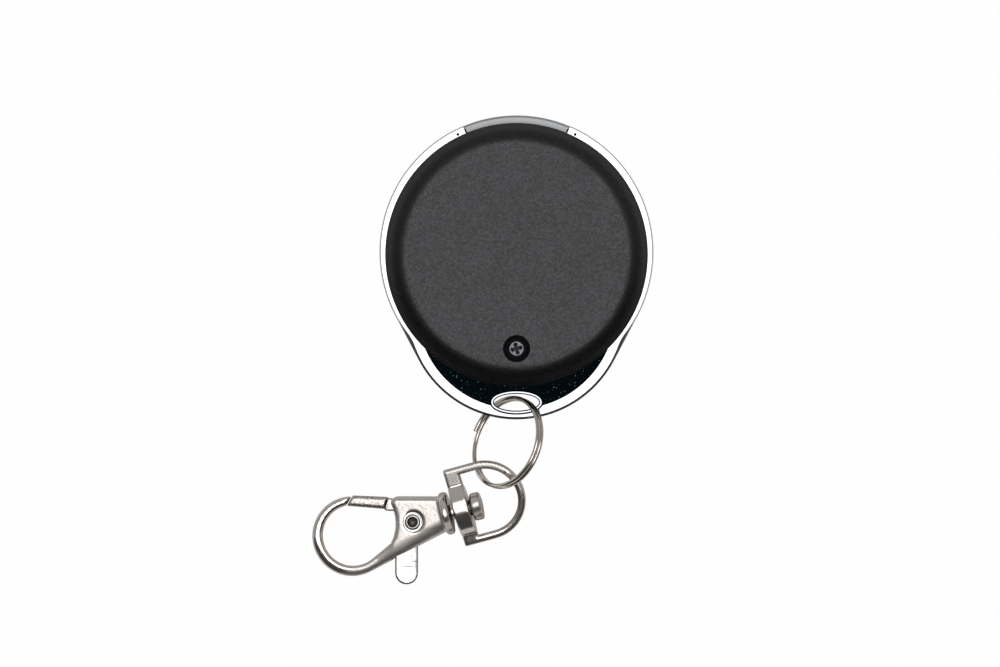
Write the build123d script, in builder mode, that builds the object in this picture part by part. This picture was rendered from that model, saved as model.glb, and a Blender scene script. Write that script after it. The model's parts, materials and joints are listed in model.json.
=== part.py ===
"""Garage door remote key fob with a split ring and a swivel snap hook, in millimetres.

The fob lies face down: +Z points out of its back cover, +Y towards its light window. The origin is the
middle of the fob, on the plane that its front rim rests on. The chain lies beside it as it fell.
"""

import os
from math import cos, radians, sin, sqrt

from build123d import *

# Fob, across and in depth
bezel_radius = 24.24
bezel_inner_radius = 22.3
bezel_back = 6.8
bezel_waist = 5.1
bezel_edge_radius = 0.95
tongue_centre_y = -10.1
tongue_radius = 19.37
tongue_front = 4.4
tongue_blend = 9.0
tongue_bulge = 0.12
tongue_front_edge_radius = 0.4
window_radius = 23.76
window_half_angle = 22.4
window_edge_radius = 0.35
guide_from_y = 19.75
guide_width = 4.0
guide_front = 3.7
guide_height = 1.1
notch_half_angle = 23.2
notch_front = 1.8

eye_y = -26.55
eye_half_length = 4.0
eye_half_width = 1.475
eye_lip_width = 0.5
eye_lip_height = 0.22
eye_lip_edge_radius = 0.2
join = 0.1

cover_radius = 23.2
cover_centre_y = -0.44
cover_back = 12.0
cover_edge_radius = 4.0
cover_wall = 1.5
cover_skirt_radius = 22.15
cover_skirt_inner = 20.95
cover_skirt_front = 5.75

shell_radius = 22.2
shell_inner_radius = 20.95
shell_face = 0.4
shell_wall = 1.2
shell_rim_back = 5.6
shell_ledge = 1.3
shell_edge_radius = 0.4

# Case screw and the bosses it pulls together
screw_y = -17.07
screw_recess_radius = 2.4
screw_recess_floor = 10.3
screw_head_radius = 1.35
screw_seat = 8.7
screw_head_height = 0.9
screw_shank_radius = 0.85
screw_end = 2.6
screw_slot_length = 1.95
screw_slot_width = 0.46
screw_slot_depth = 0.6
screw_slot_turn = 15
thread_overlap = 0.1
cover_boss_radius = 2.9
boss_join = 6.3
shell_boss_radius = 2.2

# Buttons and the switches behind them
button_pitch = 15.0
button_rows_y = 2.0
button_radius = 5.0
button_clearance = 0.15
button_front = 0.2
button_flange = 0.9
button_flange_thickness = 0.6
button_edge_radius = 0.5
button_post_radius = 1.6
button_dot_radius = 0.45
button_dot_pitch = 1.5
button_dot_height = 0.15
switch_side = 4.5
switch_front = 3.4
plunger_radius = 1.0
plunger_front = 2.9
plunger_height = 1.05
plunger_clearance = 0.05
plunger_room = 0.4

# Circuit board and battery
board_radius = 20.6
board_front = 4.9
board_back = 5.7
led_y = 18.9
cell_radius = 10.0
cell_height = 3.2
cell_front = 6.15
cell_y = 3.2
cell_step = 0.25
cell_step_width = 1.1
cell_edge_radius = 0.5
strap_width = 5.0
strap_thickness = 0.25
strap_gap = 0.4
strap_foot = 2.0
contact_length = 11.0
contact_width = 7.0
contact_thickness = 0.2
contact_corner_radius = 1.5
contact_dome_radius = 1.1
contact_dome_x = 3.0

# Parts on the back of the board
chip_at = (9.3, -11.2)
chip_length = 8.6
chip_width = 3.9
chip_height = 1.4
chip_lift = 0.15
chip_lead_pitch = 1.27
chip_lead_rows = 4.9
chip_lead_width = 0.42
chip_lead_length = 1.2
chip_lead_height = 0.6
saw_at = (-9.3, -11.4)
saw_length = 9.9
saw_width = 3.7
saw_height = 3.0
saw_flange = 0.35
saw_flange_height = 0.3
saw_edge_radius = 0.4
transistor_at = (-16.5, -5.5)
transistor_width = 1.4
transistor_length = 2.9
transistor_leg_x = 0.8
transistor_leg_y = 0.95
transistor_leg_width = 0.42
coil_at = (-15.8, 1.7)
coil_radius = 1.3
coil_wire_radius = 0.3
coil_length = 2.6
resistor_x = 15.5
resistor_from_y = -4.0
resistor_pitch = 2.6
resistor_height = 0.45
capacitor_from_x = -3.4
capacitor_y = 17.6
capacitor_pitch = 2.3
capacitor_height = 0.8
chip_part_length = 1.6
chip_part_width = 0.8

# Split ring: two turns of wire, leaning on the eye's bar
ring_centre = Vector(-1.68, -33.63, 6.6)
ring_heading = 68.2
ring_lean = 48.3
ring_radius = 8.0
ring_wire_radius = 0.39
ring_pitch = 0.82
ring_turned = 674.0
ring_start_angle = 138.0

# Hook and bail: both hang on the pin's axis, which slopes down to the hook
pin_origin = Vector(-12.32, -46.22, 3.82)
pin_heading = 13.4
pin_slope = 6.5
bail_heading = 15.5
bail_roll = 11.5
bail_at = 2.88
bail_shift = 0.58
bail_width = 14.2
bail_leg = 1.3
bail_depth = 11.5
bail_bar = 2.7
bail_thickness = 1.5
bail_boss_half = 4.75
bail_boss_crown = 3.0
bail_bore_radius = 1.55

collar_radius = 3.8
collar_thickness = 1.45
neck_radius = 1.95
shank_radius = 1.3
pin_head_radius = 2.45
pin_head_from = 4.63
pin_head_to = 6.4

loop_centre = (-17.42, -0.08)
loop_radius = 7.02
opening_centre = (-17.22, 0.02)
opening_radius = 5.44
hook_edge_radius = 0.7
neck_low = (-0.6, -3.0)
neck_high = (-0.6, 3.15)
shoulder = [(-8.1, 4.95), (-8.95, 4.65), (-9.25, 3.8)]
throat_middle = (-9.17, 0.65)
throat_low = (-11.4, -3.2)
side_profile = [(-26, 1.0), (-13.8, 1.0), (-10.4, 1.51), (-0.6, 2.3)]
rivet_at = (-6.05, -0.08)
rivet_head_radius = 1.87
rivet_shank_radius = 1.2
rivet_hollow_radius = 0.93
rivet_seat = 1.7
rivet_flange = 0.3
rivet_lip_radius = 1.38
rivet_lip_height = 0.5
slot_corners = [
    (-12.5, 7), (-7.6, 7), (-7.6, 4.0), (-3.1, 2.9), (-2.6, -0.5), (-3.6, -7),
    (-11.1, -9), (-11.1, -2.9), (-12.5, -1),
]
slot_from = -0.85
slot_to = 1.1
lever_hub_radius = 2.2
lever_arm_corners = [
    (-10.3, 5.2), (-8.35, 4.6), (-5.2, 1.5), (-6.2, -2.3), (-8.6, 0.2), (-8.95, 2.5), (-10.6, 3.0),
]
lever_root_corners = [(-7.8, 1.1), (-9.5, -2.5), (-5.6, -3.5), (-4.1, -1.0)]
lever_from = -0.78
lever_to = 0.12
spring_radius = 1.65
spring_wire_radius = 0.11
spring_pitch = 0.24
spring_turned = 709.0
spring_clearance = 0.08
gate_bar_corners = [(-15.6, 6.88), (-9.6, 5.2), (-10.6, 3.32), (-16.93, 5.37)]
tab_half_width = 2.0
tab_end = (-9.5, -8.65)
tab_length = 6.3
tab_turn = -13.6

os.makedirs("parts", exist_ok=True)


def finish(piece, name):
    """Labels a finished piece and writes it to its own file."""
    piece.part.label = name
    export_step(piece.part, f"parts/{name}.step")


def sector(radius, half_angle):
    """A pie slice about +Y, as the points of a triangle that reaches past the radius."""
    reach = 1.3 * radius
    x = reach * sin(radians(half_angle))
    y = reach * cos(radians(half_angle))
    return [(0, 0), (x, y), (-x, y)]


def tilted_plane(origin, heading, slope, roll):
    """A plane whose X runs along a heading and up a slope, turned about that X by a roll."""
    along = Vector(1, 0, 0).rotate(Axis.Y, -slope).rotate(Axis.Z, heading)
    across = Vector(0, 1, 0).rotate(Axis.X, roll).rotate(Axis.Y, -slope).rotate(Axis.Z, heading)
    return Plane(origin=origin, x_dir=along, z_dir=along.cross(across))


def on_circle(centre, radius, angle):
    """The point of a circle at an angle from +X."""
    return (centre[0] + radius * cos(radians(angle)), centre[1] + radius * sin(radians(angle)))


def runs_along_hook(edge):
    """Whether an edge of the hook or its gate runs along it, not across it or through its thickness."""
    places = [hook_plane.to_local_coords(edge @ share).X for share in (0, 0.5, 1)]
    return max(places) - min(places) > 0.05


button_places = [
    (column * button_pitch / 2, button_rows_y + row * button_pitch / 2)
    for row in (1, -1)
    for column in (-1, 1)
]

# The bezel's outline from behind: ring and tongue are circles, with a hollow blend on each side
blend_y = (
    (tongue_centre_y**2 + (bezel_radius + tongue_blend) ** 2 - (tongue_radius + tongue_blend) ** 2)
    / (2 * tongue_centre_y)
)
blend_centre = Vector(sqrt((bezel_radius + tongue_blend) ** 2 - blend_y**2), blend_y)
tongue_centre = Vector(0, tongue_centre_y)
ring_touch = blend_centre.normalized() * bezel_radius
tongue_touch = tongue_centre + (blend_centre - tongue_centre).normalized() * tongue_radius
blend_middle = blend_centre + ((ring_touch + tongue_touch) / 2 - blend_centre).normalized() * tongue_blend


def left_of(point):
    """The same point on the other side of the fob."""
    return Vector(-point.X, point.Y)


# Chrome bezel: a ring that turns into a tongue with an oval eye
with BuildPart() as chrome_bezel:
    with BuildSketch(Plane.XY.offset(bezel_waist)):
        with BuildLine():
            ThreePointArc(left_of(ring_touch), (0, bezel_radius), ring_touch)
            ThreePointArc(ring_touch, blend_middle, tongue_touch)
            ThreePointArc(tongue_touch, (0, tongue_centre_y - tongue_radius), left_of(tongue_touch))
            ThreePointArc(left_of(tongue_touch), left_of(blend_middle), left_of(ring_touch))
        make_face()
    extrude(amount=bezel_back - bezel_waist)
    fillet(chrome_bezel.edges().group_by(Axis.Z)[-1], radius=bezel_edge_radius)
    with BuildPart(mode=Mode.PRIVATE) as tongue_edge:
        with BuildSketch(Plane.XY.offset(tongue_front)):
            Circle(bezel_radius)
            with Locations((0, tongue_centre_y)):
                Circle(tongue_radius + tongue_bulge)
            make_hull()
        extrude(amount=bezel_waist - tongue_front)
        fillet(tongue_edge.edges().group_by(Axis.Z)[0], radius=tongue_front_edge_radius)
    add(tongue_edge.part)
    with BuildPart(mode=Mode.PRIVATE) as ring_wall:
        with BuildSketch():
            Circle(bezel_radius)
        extrude(amount=bezel_waist)
        fillet(ring_wall.edges().group_by(Axis.Z)[0], radius=bezel_edge_radius)
    add(ring_wall.part)
    with BuildSketch():
        Circle(bezel_inner_radius)
    extrude(amount=bezel_back, mode=Mode.SUBTRACT)
    with BuildSketch(Plane.XY.offset(notch_front)):
        Polygon(*sector(bezel_radius, notch_half_angle), align=None)
    extrude(amount=bezel_back, mode=Mode.SUBTRACT)
    with BuildSketch(Plane.XY.offset(tongue_front - 1)):
        with Locations((0, eye_y)):
            Ellipse(eye_half_length + join, eye_half_width + join)
    extrude(amount=bezel_back, mode=Mode.SUBTRACT)
    with BuildPart(mode=Mode.PRIVATE) as eye_lip:
        with BuildSketch(Plane.XY.offset(tongue_front)):
            with Locations((0, eye_y)):
                Ellipse(eye_half_length + eye_lip_width, eye_half_width + eye_lip_width)
                Ellipse(eye_half_length, eye_half_width, mode=Mode.SUBTRACT)
        extrude(amount=bezel_back + eye_lip_height - tongue_front)
        for rim in (eye_lip.edges().group_by(Axis.Z)[-1], eye_lip.edges().group_by(Axis.Z)[0]):
            fillet(rim, radius=eye_lip_edge_radius)
    add(eye_lip.part)
finish(chrome_bezel, "chrome_bezel")

# Light window: a strip in the bezel's gap, with a guide that reaches in to the light
with BuildPart() as light_window:
    with BuildSketch(Plane.XY.offset(notch_front)):
        Circle(window_radius)
        Circle(bezel_inner_radius, mode=Mode.SUBTRACT)
        Polygon(*sector(bezel_radius, window_half_angle), align=None, mode=Mode.INTERSECT)
    extrude(amount=bezel_back - notch_front)
    outer_edges = light_window.edges().filter_by(GeomType.CIRCLE).group_by(Axis.Z)[-1].sort_by(Edge.length)[-1]
    fillet(outer_edges, radius=window_edge_radius)
    with BuildSketch(Plane.XY.offset(guide_front)):
        with Locations((0, (guide_from_y + bezel_inner_radius + 0.4) / 2)):
            Rectangle(guide_width, bezel_inner_radius + 0.4 - guide_from_y)
    extrude(amount=guide_height)
finish(light_window, "light_window")

# Back cover: a dished shell with a skirt, and a hollow boss for the screw
with BuildPart() as back_cover:
    with BuildSketch(Plane.XY.offset(bezel_back)):
        with Locations((0, cover_centre_y)):
            Circle(cover_radius)
    extrude(amount=cover_back - bezel_back)
    fillet(back_cover.edges().group_by(Axis.Z)[-1], radius=cover_edge_radius)
    with BuildPart(mode=Mode.PRIVATE) as hollow:
        with BuildSketch(Plane.XY.offset(bezel_back)):
            with Locations((0, cover_centre_y)):
                Circle(cover_radius - cover_wall)
        extrude(amount=cover_back - cover_wall - bezel_back)
        fillet(hollow.edges().group_by(Axis.Z)[-1], radius=cover_edge_radius - cover_wall)
    add(hollow.part, mode=Mode.SUBTRACT)
    with BuildSketch(Plane.XY.offset(cover_skirt_front)):
        Circle(cover_skirt_radius)
        Circle(cover_skirt_inner, mode=Mode.SUBTRACT)
    extrude(amount=bezel_back + 0.5 - cover_skirt_front)
    with BuildSketch(Plane.XY.offset(boss_join)):
        with Locations((0, screw_y)):
            Circle(cover_boss_radius)
    extrude(amount=cover_back - cover_wall / 2 - boss_join)
    with BuildSketch(Plane.XY.offset(screw_recess_floor)):
        with Locations((0, screw_y)):
            Circle(screw_recess_radius)
    extrude(amount=cover_back, mode=Mode.SUBTRACT)
    with BuildSketch(Plane.XY.offset(screw_seat)):
        with Locations((0, screw_y)):
            Circle(screw_head_radius + 0.25)
    extrude(amount=cover_back, mode=Mode.SUBTRACT)
    with BuildSketch(Plane.XY.offset(boss_join - 1)):
        with Locations((0, screw_y)):
            Circle(screw_shank_radius + thread_overlap)
    extrude(amount=cover_back, mode=Mode.SUBTRACT)
finish(back_cover, "back_cover")

# Front shell: the face with four button holes, a rim, a ledge for the board and a screw boss
with BuildPart() as front_shell:
    with BuildSketch(Plane.XY.offset(shell_face)):
        Circle(shell_radius)
    extrude(amount=shell_rim_back - shell_face)
    fillet(front_shell.edges().group_by(Axis.Z)[0], radius=shell_edge_radius)
    with BuildSketch(Plane.XY.offset(board_front)):
        Circle(shell_inner_radius)
    extrude(amount=shell_rim_back, mode=Mode.SUBTRACT)
    with BuildSketch(Plane.XY.offset(shell_face + shell_wall)):
        Circle(shell_inner_radius - shell_ledge)
    extrude(amount=shell_rim_back, mode=Mode.SUBTRACT)
    with BuildSketch(Plane.XY.offset(shell_face + shell_wall / 2)):
        with Locations((0, screw_y)):
            Circle(shell_boss_radius)
    extrude(amount=boss_join - shell_face - shell_wall / 2)
    with BuildSketch(Plane.XY.offset(screw_end - 0.3)):
        with Locations((0, screw_y)):
            Circle(screw_shank_radius - thread_overlap)
    extrude(amount=boss_join, mode=Mode.SUBTRACT)
    with BuildSketch():
        with Locations(*button_places):
            Circle(button_radius + button_clearance)
    extrude(amount=shell_face + shell_wall, mode=Mode.SUBTRACT)
    with BuildSketch(Plane.XY.offset(guide_front - 0.2)):
        with Locations((0, shell_radius)):
            Rectangle(guide_width + 0.6, 6)
    extrude(amount=shell_rim_back, mode=Mode.SUBTRACT)
finish(front_shell, "front_shell")

# Four buttons, told apart by one to four raised dots
for number, place in enumerate(button_places, start=1):
    with BuildPart() as button:
        with BuildSketch(Plane.XY.offset(button_front + button_dot_height)):
            with Locations(place):
                Circle(button_radius)
        extrude(amount=shell_face + shell_wall - button_front)
        fillet(button.edges().group_by(Axis.Z)[0], radius=button_edge_radius)
        with BuildSketch(Plane.XY.offset(shell_face + shell_wall + 0.05)):
            with Locations(place):
                Circle(button_radius + button_flange)
        extrude(amount=button_flange_thickness)
        with BuildSketch(Plane.XY.offset(shell_face + shell_wall)):
            with Locations(place):
                Circle(button_post_radius)
        extrude(amount=plunger_front - shell_face - shell_wall)
        with BuildSketch(Plane.XY.offset(button_front)):
            with Locations(place):
                with GridLocations(button_dot_pitch, 0, number, 1):
                    Circle(button_dot_radius)
        extrude(amount=2 * button_dot_height)
    finish(button, f"button_{number}")

# A switch for each button: a plunger each, and four bodies in one node
for number, place in enumerate(button_places, start=1):
    with BuildPart() as plunger:
        with BuildSketch(Plane.XY.offset(plunger_front)):
            with Locations(place):
                Circle(plunger_radius)
        extrude(amount=plunger_height)
    finish(plunger, f"switch_plunger_{number}")

with BuildPart() as switch_bodies:
    with BuildSketch(Plane.XY.offset(switch_front)):
        with Locations(*button_places):
            RectangleRounded(switch_side, switch_side, 0.5)
    extrude(amount=board_front - switch_front)
    chamfer(switch_bodies.edges().group_by(Axis.Z)[0], length=0.15)
    with BuildSketch(Plane.XY.offset(switch_front)):
        with Locations(*button_places):
            Circle(plunger_radius + plunger_clearance)
    extrude(amount=plunger_front + plunger_height + plunger_room - switch_front, mode=Mode.SUBTRACT)
finish(switch_bodies, "switch_bodies")

# Circuit board, open at its edge where the screw boss passes
with BuildPart() as circuit_board:
    with BuildSketch(Plane.XY.offset(board_front)):
        Circle(board_radius)
        with Locations((0, screw_y)):
            Circle(cover_boss_radius + 0.3, mode=Mode.SUBTRACT)
        with Locations((0, screw_y - 4)):
            Rectangle(2 * cover_boss_radius + 0.6, 8, mode=Mode.SUBTRACT)
    extrude(amount=board_back - board_front)
finish(circuit_board, "circuit_board")

with BuildPart() as status_led:
    with BuildSketch(Plane.XY.offset(board_front - 0.9)):
        with Locations((0, led_y)):
            Rectangle(3.0, 1.2)
    extrude(amount=0.9)
    chamfer(status_led.edges().group_by(Axis.Z)[0], length=0.2)
finish(status_led, "status_led")

# Battery, its strap over the top and the sprung strip below
with BuildPart() as coin_cell:
    with BuildSketch(Plane.XY.offset(cell_front + cell_step)):
        with Locations((0, cell_y)):
            Circle(cell_radius)
    extrude(amount=cell_height - cell_step)
    fillet(coin_cell.edges().group_by(Axis.Z)[-1], radius=cell_edge_radius)
    with BuildSketch(Plane.XY.offset(cell_front)):
        with Locations((0, cell_y)):
            Circle(cell_radius - cell_step_width)
    extrude(amount=2 * cell_step)
finish(coin_cell, "coin_cell")

strap_top = cell_front + cell_height
strap_inner = cell_radius + strap_gap
strap_outer = strap_inner + strap_thickness
strap_end = strap_inner + strap_foot
with BuildPart() as battery_clip:
    with BuildSketch(Plane.XZ.offset(-cell_y - strap_width / 2)):
        with BuildLine():
            Polyline(
                (-strap_end, board_back),
                (-strap_inner, board_back),
                (-strap_inner, strap_top),
                (strap_inner, strap_top),
                (strap_inner, board_back),
                (strap_end, board_back),
                (strap_end, board_back + strap_thickness),
                (strap_outer, board_back + strap_thickness),
                (strap_outer, strap_top + strap_thickness),
                (-strap_outer, strap_top + strap_thickness),
                (-strap_outer, board_back + strap_thickness),
                (-strap_end, board_back + strap_thickness),
                close=True,
            )
        make_face()
    extrude(amount=strap_width)
finish(battery_clip, "battery_clip")

with BuildPart() as battery_contact:
    with BuildSketch(Plane.XY.offset(board_back)):
        with Locations((0, cell_y)):
            RectangleRounded(contact_length, contact_width, contact_corner_radius)
    extrude(amount=contact_thickness)
    with BuildSketch(Plane.XY.offset(board_back)):
        with Locations((-contact_dome_x, cell_y), (contact_dome_x, cell_y)):
            Circle(contact_dome_radius)
    extrude(amount=cell_front - board_back)
finish(battery_contact, "battery_contact")

# Parts on the back of the board
with BuildPart() as encoder_chip:
    with BuildSketch(Plane.XY.offset(board_back + chip_lift)):
        with Locations(chip_at):
            Rectangle(chip_length, chip_width)
    extrude(amount=chip_height)
    chamfer(encoder_chip.edges().group_by(Axis.Z)[-1], length=0.25)
    with BuildSketch(Plane.XY.offset(board_back)):
        with Locations(chip_at):
            with GridLocations(chip_lead_pitch, chip_lead_rows, 6, 2):
                Rectangle(chip_lead_width, chip_lead_length)
    extrude(amount=chip_lead_height)
finish(encoder_chip, "encoder_chip")

with BuildPart() as saw_resonator:
    with BuildSketch(Plane.XY.offset(board_back)):
        with Locations(saw_at):
            SlotOverall(saw_length + 2 * saw_flange, saw_width + 2 * saw_flange)
    extrude(amount=saw_flange_height)
    with BuildSketch(Plane.XY.offset(board_back)):
        with Locations(saw_at):
            SlotOverall(saw_length, saw_width)
    extrude(amount=saw_height)
    fillet(saw_resonator.edges().group_by(Axis.Z)[-1], radius=saw_edge_radius)
finish(saw_resonator, "saw_resonator")

transistor_legs = [
    (transistor_at[0] - transistor_leg_x, transistor_at[1] + transistor_leg_y),
    (transistor_at[0] - transistor_leg_x, transistor_at[1] - transistor_leg_y),
    (transistor_at[0] + transistor_leg_x, transistor_at[1]),
]
with BuildPart() as rf_transistor:
    with BuildSketch(Plane.XY.offset(board_back + 0.1)):
        with Locations(transistor_at):
            Rectangle(transistor_width, transistor_length)
    extrude(amount=0.95)
    with BuildSketch(Plane.XY.offset(board_back)):
        with Locations(*transistor_legs):
            Rectangle(transistor_leg_x, transistor_leg_width)
    extrude(amount=0.3)
finish(rf_transistor, "rf_transistor")

with BuildPart() as tuning_coil:
    with BuildSketch(Plane.XZ.offset(-coil_at[1] - coil_length / 2)):
        with Locations((coil_at[0], board_back + coil_radius + coil_wire_radius)):
            Circle(coil_radius + coil_wire_radius)
            Circle(coil_radius - coil_wire_radius, mode=Mode.SUBTRACT)
    extrude(amount=coil_length)
    with BuildSketch(Plane.XY.offset(board_back)):
        with Locations(coil_at):
            Rectangle(1.4, coil_length)
    extrude(amount=0.5)
finish(tuning_coil, "tuning_coil")

resistor_places = [(resistor_x, resistor_from_y + resistor_pitch * step) for step in range(5)]
capacitor_places = [(capacitor_from_x + capacitor_pitch * step, capacitor_y) for step in range(4)]
for name, places, height in (
    ("chip_resistors", resistor_places, resistor_height),
    ("chip_capacitors", capacitor_places, capacitor_height),
):
    with BuildPart() as chips:
        with BuildSketch(Plane.XY.offset(board_back)):
            with Locations(*places):
                Rectangle(chip_part_length, chip_part_width)
        extrude(amount=height)
        chamfer(chips.edges().group_by(Axis.Z)[-1], length=0.08)
    finish(chips, name)

# Case screw: a pan head with a cross recess, in the cover, its thread in the shell's boss
with BuildPart() as case_screw:
    with BuildSketch(Plane.XY.offset(screw_seat)):
        with Locations((0, screw_y)):
            Circle(screw_head_radius)
    extrude(amount=screw_head_height)
    fillet(case_screw.edges().group_by(Axis.Z)[-1], radius=0.4)
    with BuildSketch(Plane.XY.offset(screw_end)):
        with Locations((0, screw_y)):
            Circle(screw_shank_radius)
    extrude(amount=screw_seat - screw_end)
    chamfer(case_screw.edges().group_by(Axis.Z)[0], length=0.3)
    with BuildSketch(Plane.XY.offset(screw_seat + screw_head_height)):
        with Locations(Location((0, screw_y), screw_slot_turn)):
            Rectangle(screw_slot_length, screw_slot_width)
            Rectangle(screw_slot_width, screw_slot_length)
    extrude(amount=-screw_slot_depth, taper=12, mode=Mode.SUBTRACT)
finish(case_screw, "case_screw")

# Split ring: wire wound for nearly two turns, so that one short stretch is single
ring_along = Vector(1, 0, 0).rotate(Axis.Z, ring_heading)
ring_normal = Vector(0, 0, 1).rotate(Axis.X, -ring_lean).rotate(Axis.Z, ring_heading)
ring_height = ring_pitch * ring_turned / 360
ring_start = Plane(
    origin=ring_centre - ring_normal * ring_height / 2,
    x_dir=ring_along.rotate(Axis((0, 0, 0), ring_normal), ring_start_angle),
    z_dir=ring_normal,
)
with BuildPart(mode=Mode.PRIVATE) as wound_wire:
    with BuildLine() as ring_path:
        Helix(pitch=ring_pitch, height=ring_height, radius=ring_radius)
    with BuildSketch(Plane(origin=ring_path.line @ 0, z_dir=ring_path.line % 0)):
        Circle(ring_wire_radius)
    sweep(path=ring_path.line, is_frenet=True)
with BuildPart() as split_ring:
    with Locations(ring_start.location):
        add(wound_wire.part)
finish(split_ring, "split_ring")

# Bail: a D of cast wire, closed by a bar with a boss that the pin turns in
hook_plane = tilted_plane(pin_origin, pin_heading, pin_slope, 0)
bail_centre = pin_origin + hook_plane.x_dir * bail_at
bail_plane = tilted_plane(bail_centre, bail_heading, pin_slope, bail_roll)
bar_section = Plane(origin=bail_centre, x_dir=bail_plane.y_dir, z_dir=bail_plane.x_dir)
half_width = bail_width / 2
leg_end = bail_depth - half_width
with BuildPart() as swivel_bail:
    with BuildSketch(bail_plane.offset(-bail_thickness / 2)):
        for bar_face, radius, mode in (
            (-bail_bar / 2, half_width, Mode.ADD),
            (bail_bar / 2, half_width - bail_leg, Mode.SUBTRACT),
        ):
            left, right = bail_shift + radius, bail_shift - radius
            with BuildLine():
                Polyline((leg_end, left), (bar_face, left), (bar_face, right), (leg_end, right))
                ThreePointArc((leg_end, right), (leg_end + radius, bail_shift), (leg_end, left))
            make_face(mode=mode)
    extrude(amount=bail_thickness)
    long_edges = swivel_bail.edges().filter_by(lambda e: e.length > 2.9)
    fillet(long_edges, radius=0.42)
    with BuildSketch(bar_section.offset(-bail_bar / 2)):
        with BuildLine():
            ThreePointArc((-bail_boss_half, 0.4), (0, bail_boss_crown), (bail_boss_half, 0.4))
            Line((bail_boss_half, 0.4), (bail_boss_half, -0.4))
            ThreePointArc((bail_boss_half, -0.4), (0, -bail_boss_crown), (-bail_boss_half, -0.4))
            Line((-bail_boss_half, -0.4), (-bail_boss_half, 0.4))
        make_face()
    extrude(amount=bail_bar)
    with BuildSketch(bar_section.offset(-bail_bar)):
        Circle(bail_bore_radius)
    extrude(amount=2 * bail_bar, mode=Mode.SUBTRACT)
finish(swivel_bail, "swivel_bail")

# Hook body: cast loop and slotted body, with the swivel pin and its upset head in one
side_plane = Plane(origin=pin_origin, x_dir=hook_plane.x_dir, z_dir=-hook_plane.y_dir)
with BuildPart() as hook_body:
    with BuildSketch(hook_plane.offset(-4)) as hook_outline:
        with BuildLine():
            outer_from = on_circle(loop_centre, loop_radius, 78)
            outer_to = on_circle(loop_centre, loop_radius, -75.6)
            inner_from = on_circle(opening_centre, opening_radius, -66)
            inner_to = on_circle(opening_centre, opening_radius, 89.5)
            ThreePointArc(outer_from, on_circle(loop_centre, loop_radius, 180), outer_to)
            Line(outer_to, neck_low)
            Line(neck_low, neck_high)
            Line(neck_high, shoulder[0])
            ThreePointArc(*shoulder)
            ThreePointArc(shoulder[2], throat_middle, throat_low)
            Line(throat_low, inner_from)
            ThreePointArc(inner_from, on_circle(opening_centre, opening_radius, 180), inner_to)
            Line(inner_to, outer_from)
        make_face()
    extrude(amount=8)
    with BuildSketch(side_plane.offset(-9)):
        with BuildLine():
            Polyline(*side_profile, *((along, -up) for along, up in reversed(side_profile)), close=True)
        make_face()
    extrude(amount=18, mode=Mode.INTERSECT)
    fillet(hook_body.edges().filter_by(runs_along_hook), radius=hook_edge_radius)
    with BuildSketch(hook_plane.offset(slot_from)):
        with BuildLine():
            Polyline(*slot_corners, close=True)
        make_face()
    extrude(amount=slot_to - slot_from, mode=Mode.SUBTRACT)
    with BuildSketch(hook_plane.offset(-4)):
        with Locations(rivet_at):
            Circle(rivet_shank_radius + 0.02)
    extrude(amount=8, mode=Mode.SUBTRACT)
    for outward in (1, -1):
        with BuildSketch(hook_plane.offset(outward * rivet_seat)):
            with Locations(rivet_at):
                Circle(rivet_head_radius + 0.06)
        extrude(amount=outward * 2, mode=Mode.SUBTRACT)
    with BuildPart(mode=Mode.PRIVATE) as swivel_pin:
        with BuildSketch(side_plane):
            with BuildLine():
                Polyline(
                    (-3.2, 0), (-3.2, neck_radius), (-collar_thickness / 2, neck_radius),
                    (-collar_thickness / 2, collar_radius), (collar_thickness / 2, collar_radius),
                    (collar_thickness / 2, shank_radius), (pin_head_from, shank_radius),
                    (pin_head_from, pin_head_radius), (pin_head_to, pin_head_radius), (pin_head_to, 0),
                    close=True,
                )
            make_face()
        revolve(axis=Axis(pin_origin, hook_plane.x_dir))
        rims = swivel_pin.edges().filter_by(GeomType.CIRCLE)
        fillet(rims.filter_by(lambda e: e.radius > collar_radius - 0.01), radius=0.5)
        fillet(rims.filter_by(lambda e: abs(e.radius - pin_head_radius) < 0.01), radius=0.35)
    add(swivel_pin.part)
finish(hook_body, "hook_body")

# Gate rivet: a tubular rivet, flared on both cheeks
with BuildPart() as gate_rivet:
    with BuildSketch(hook_plane.offset(-rivet_seat)):
        with Locations(rivet_at):
            Circle(rivet_shank_radius)
    extrude(amount=2 * rivet_seat)
    for outward in (1, -1):
        with BuildSketch(hook_plane.offset(outward * rivet_seat)):
            with Locations(rivet_at):
                Circle(rivet_head_radius)
        extrude(amount=outward * rivet_flange)
        with BuildSketch(hook_plane.offset(outward * rivet_seat)):
            with Locations(rivet_at):
                Circle(rivet_lip_radius)
        extrude(amount=outward * rivet_lip_height)
    rivet_rims = gate_rivet.edges().filter_by(GeomType.CIRCLE)
    fillet(rivet_rims.filter_by(lambda e: abs(e.radius - rivet_head_radius) < 0.01), radius=0.12)
    for outward in (1, -1):
        with BuildSketch(hook_plane.offset(outward * 1.0)):
            with Locations(rivet_at):
                Circle(rivet_hollow_radius)
        extrude(amount=outward * 2, mode=Mode.SUBTRACT)
finish(gate_rivet, "gate_rivet")

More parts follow.
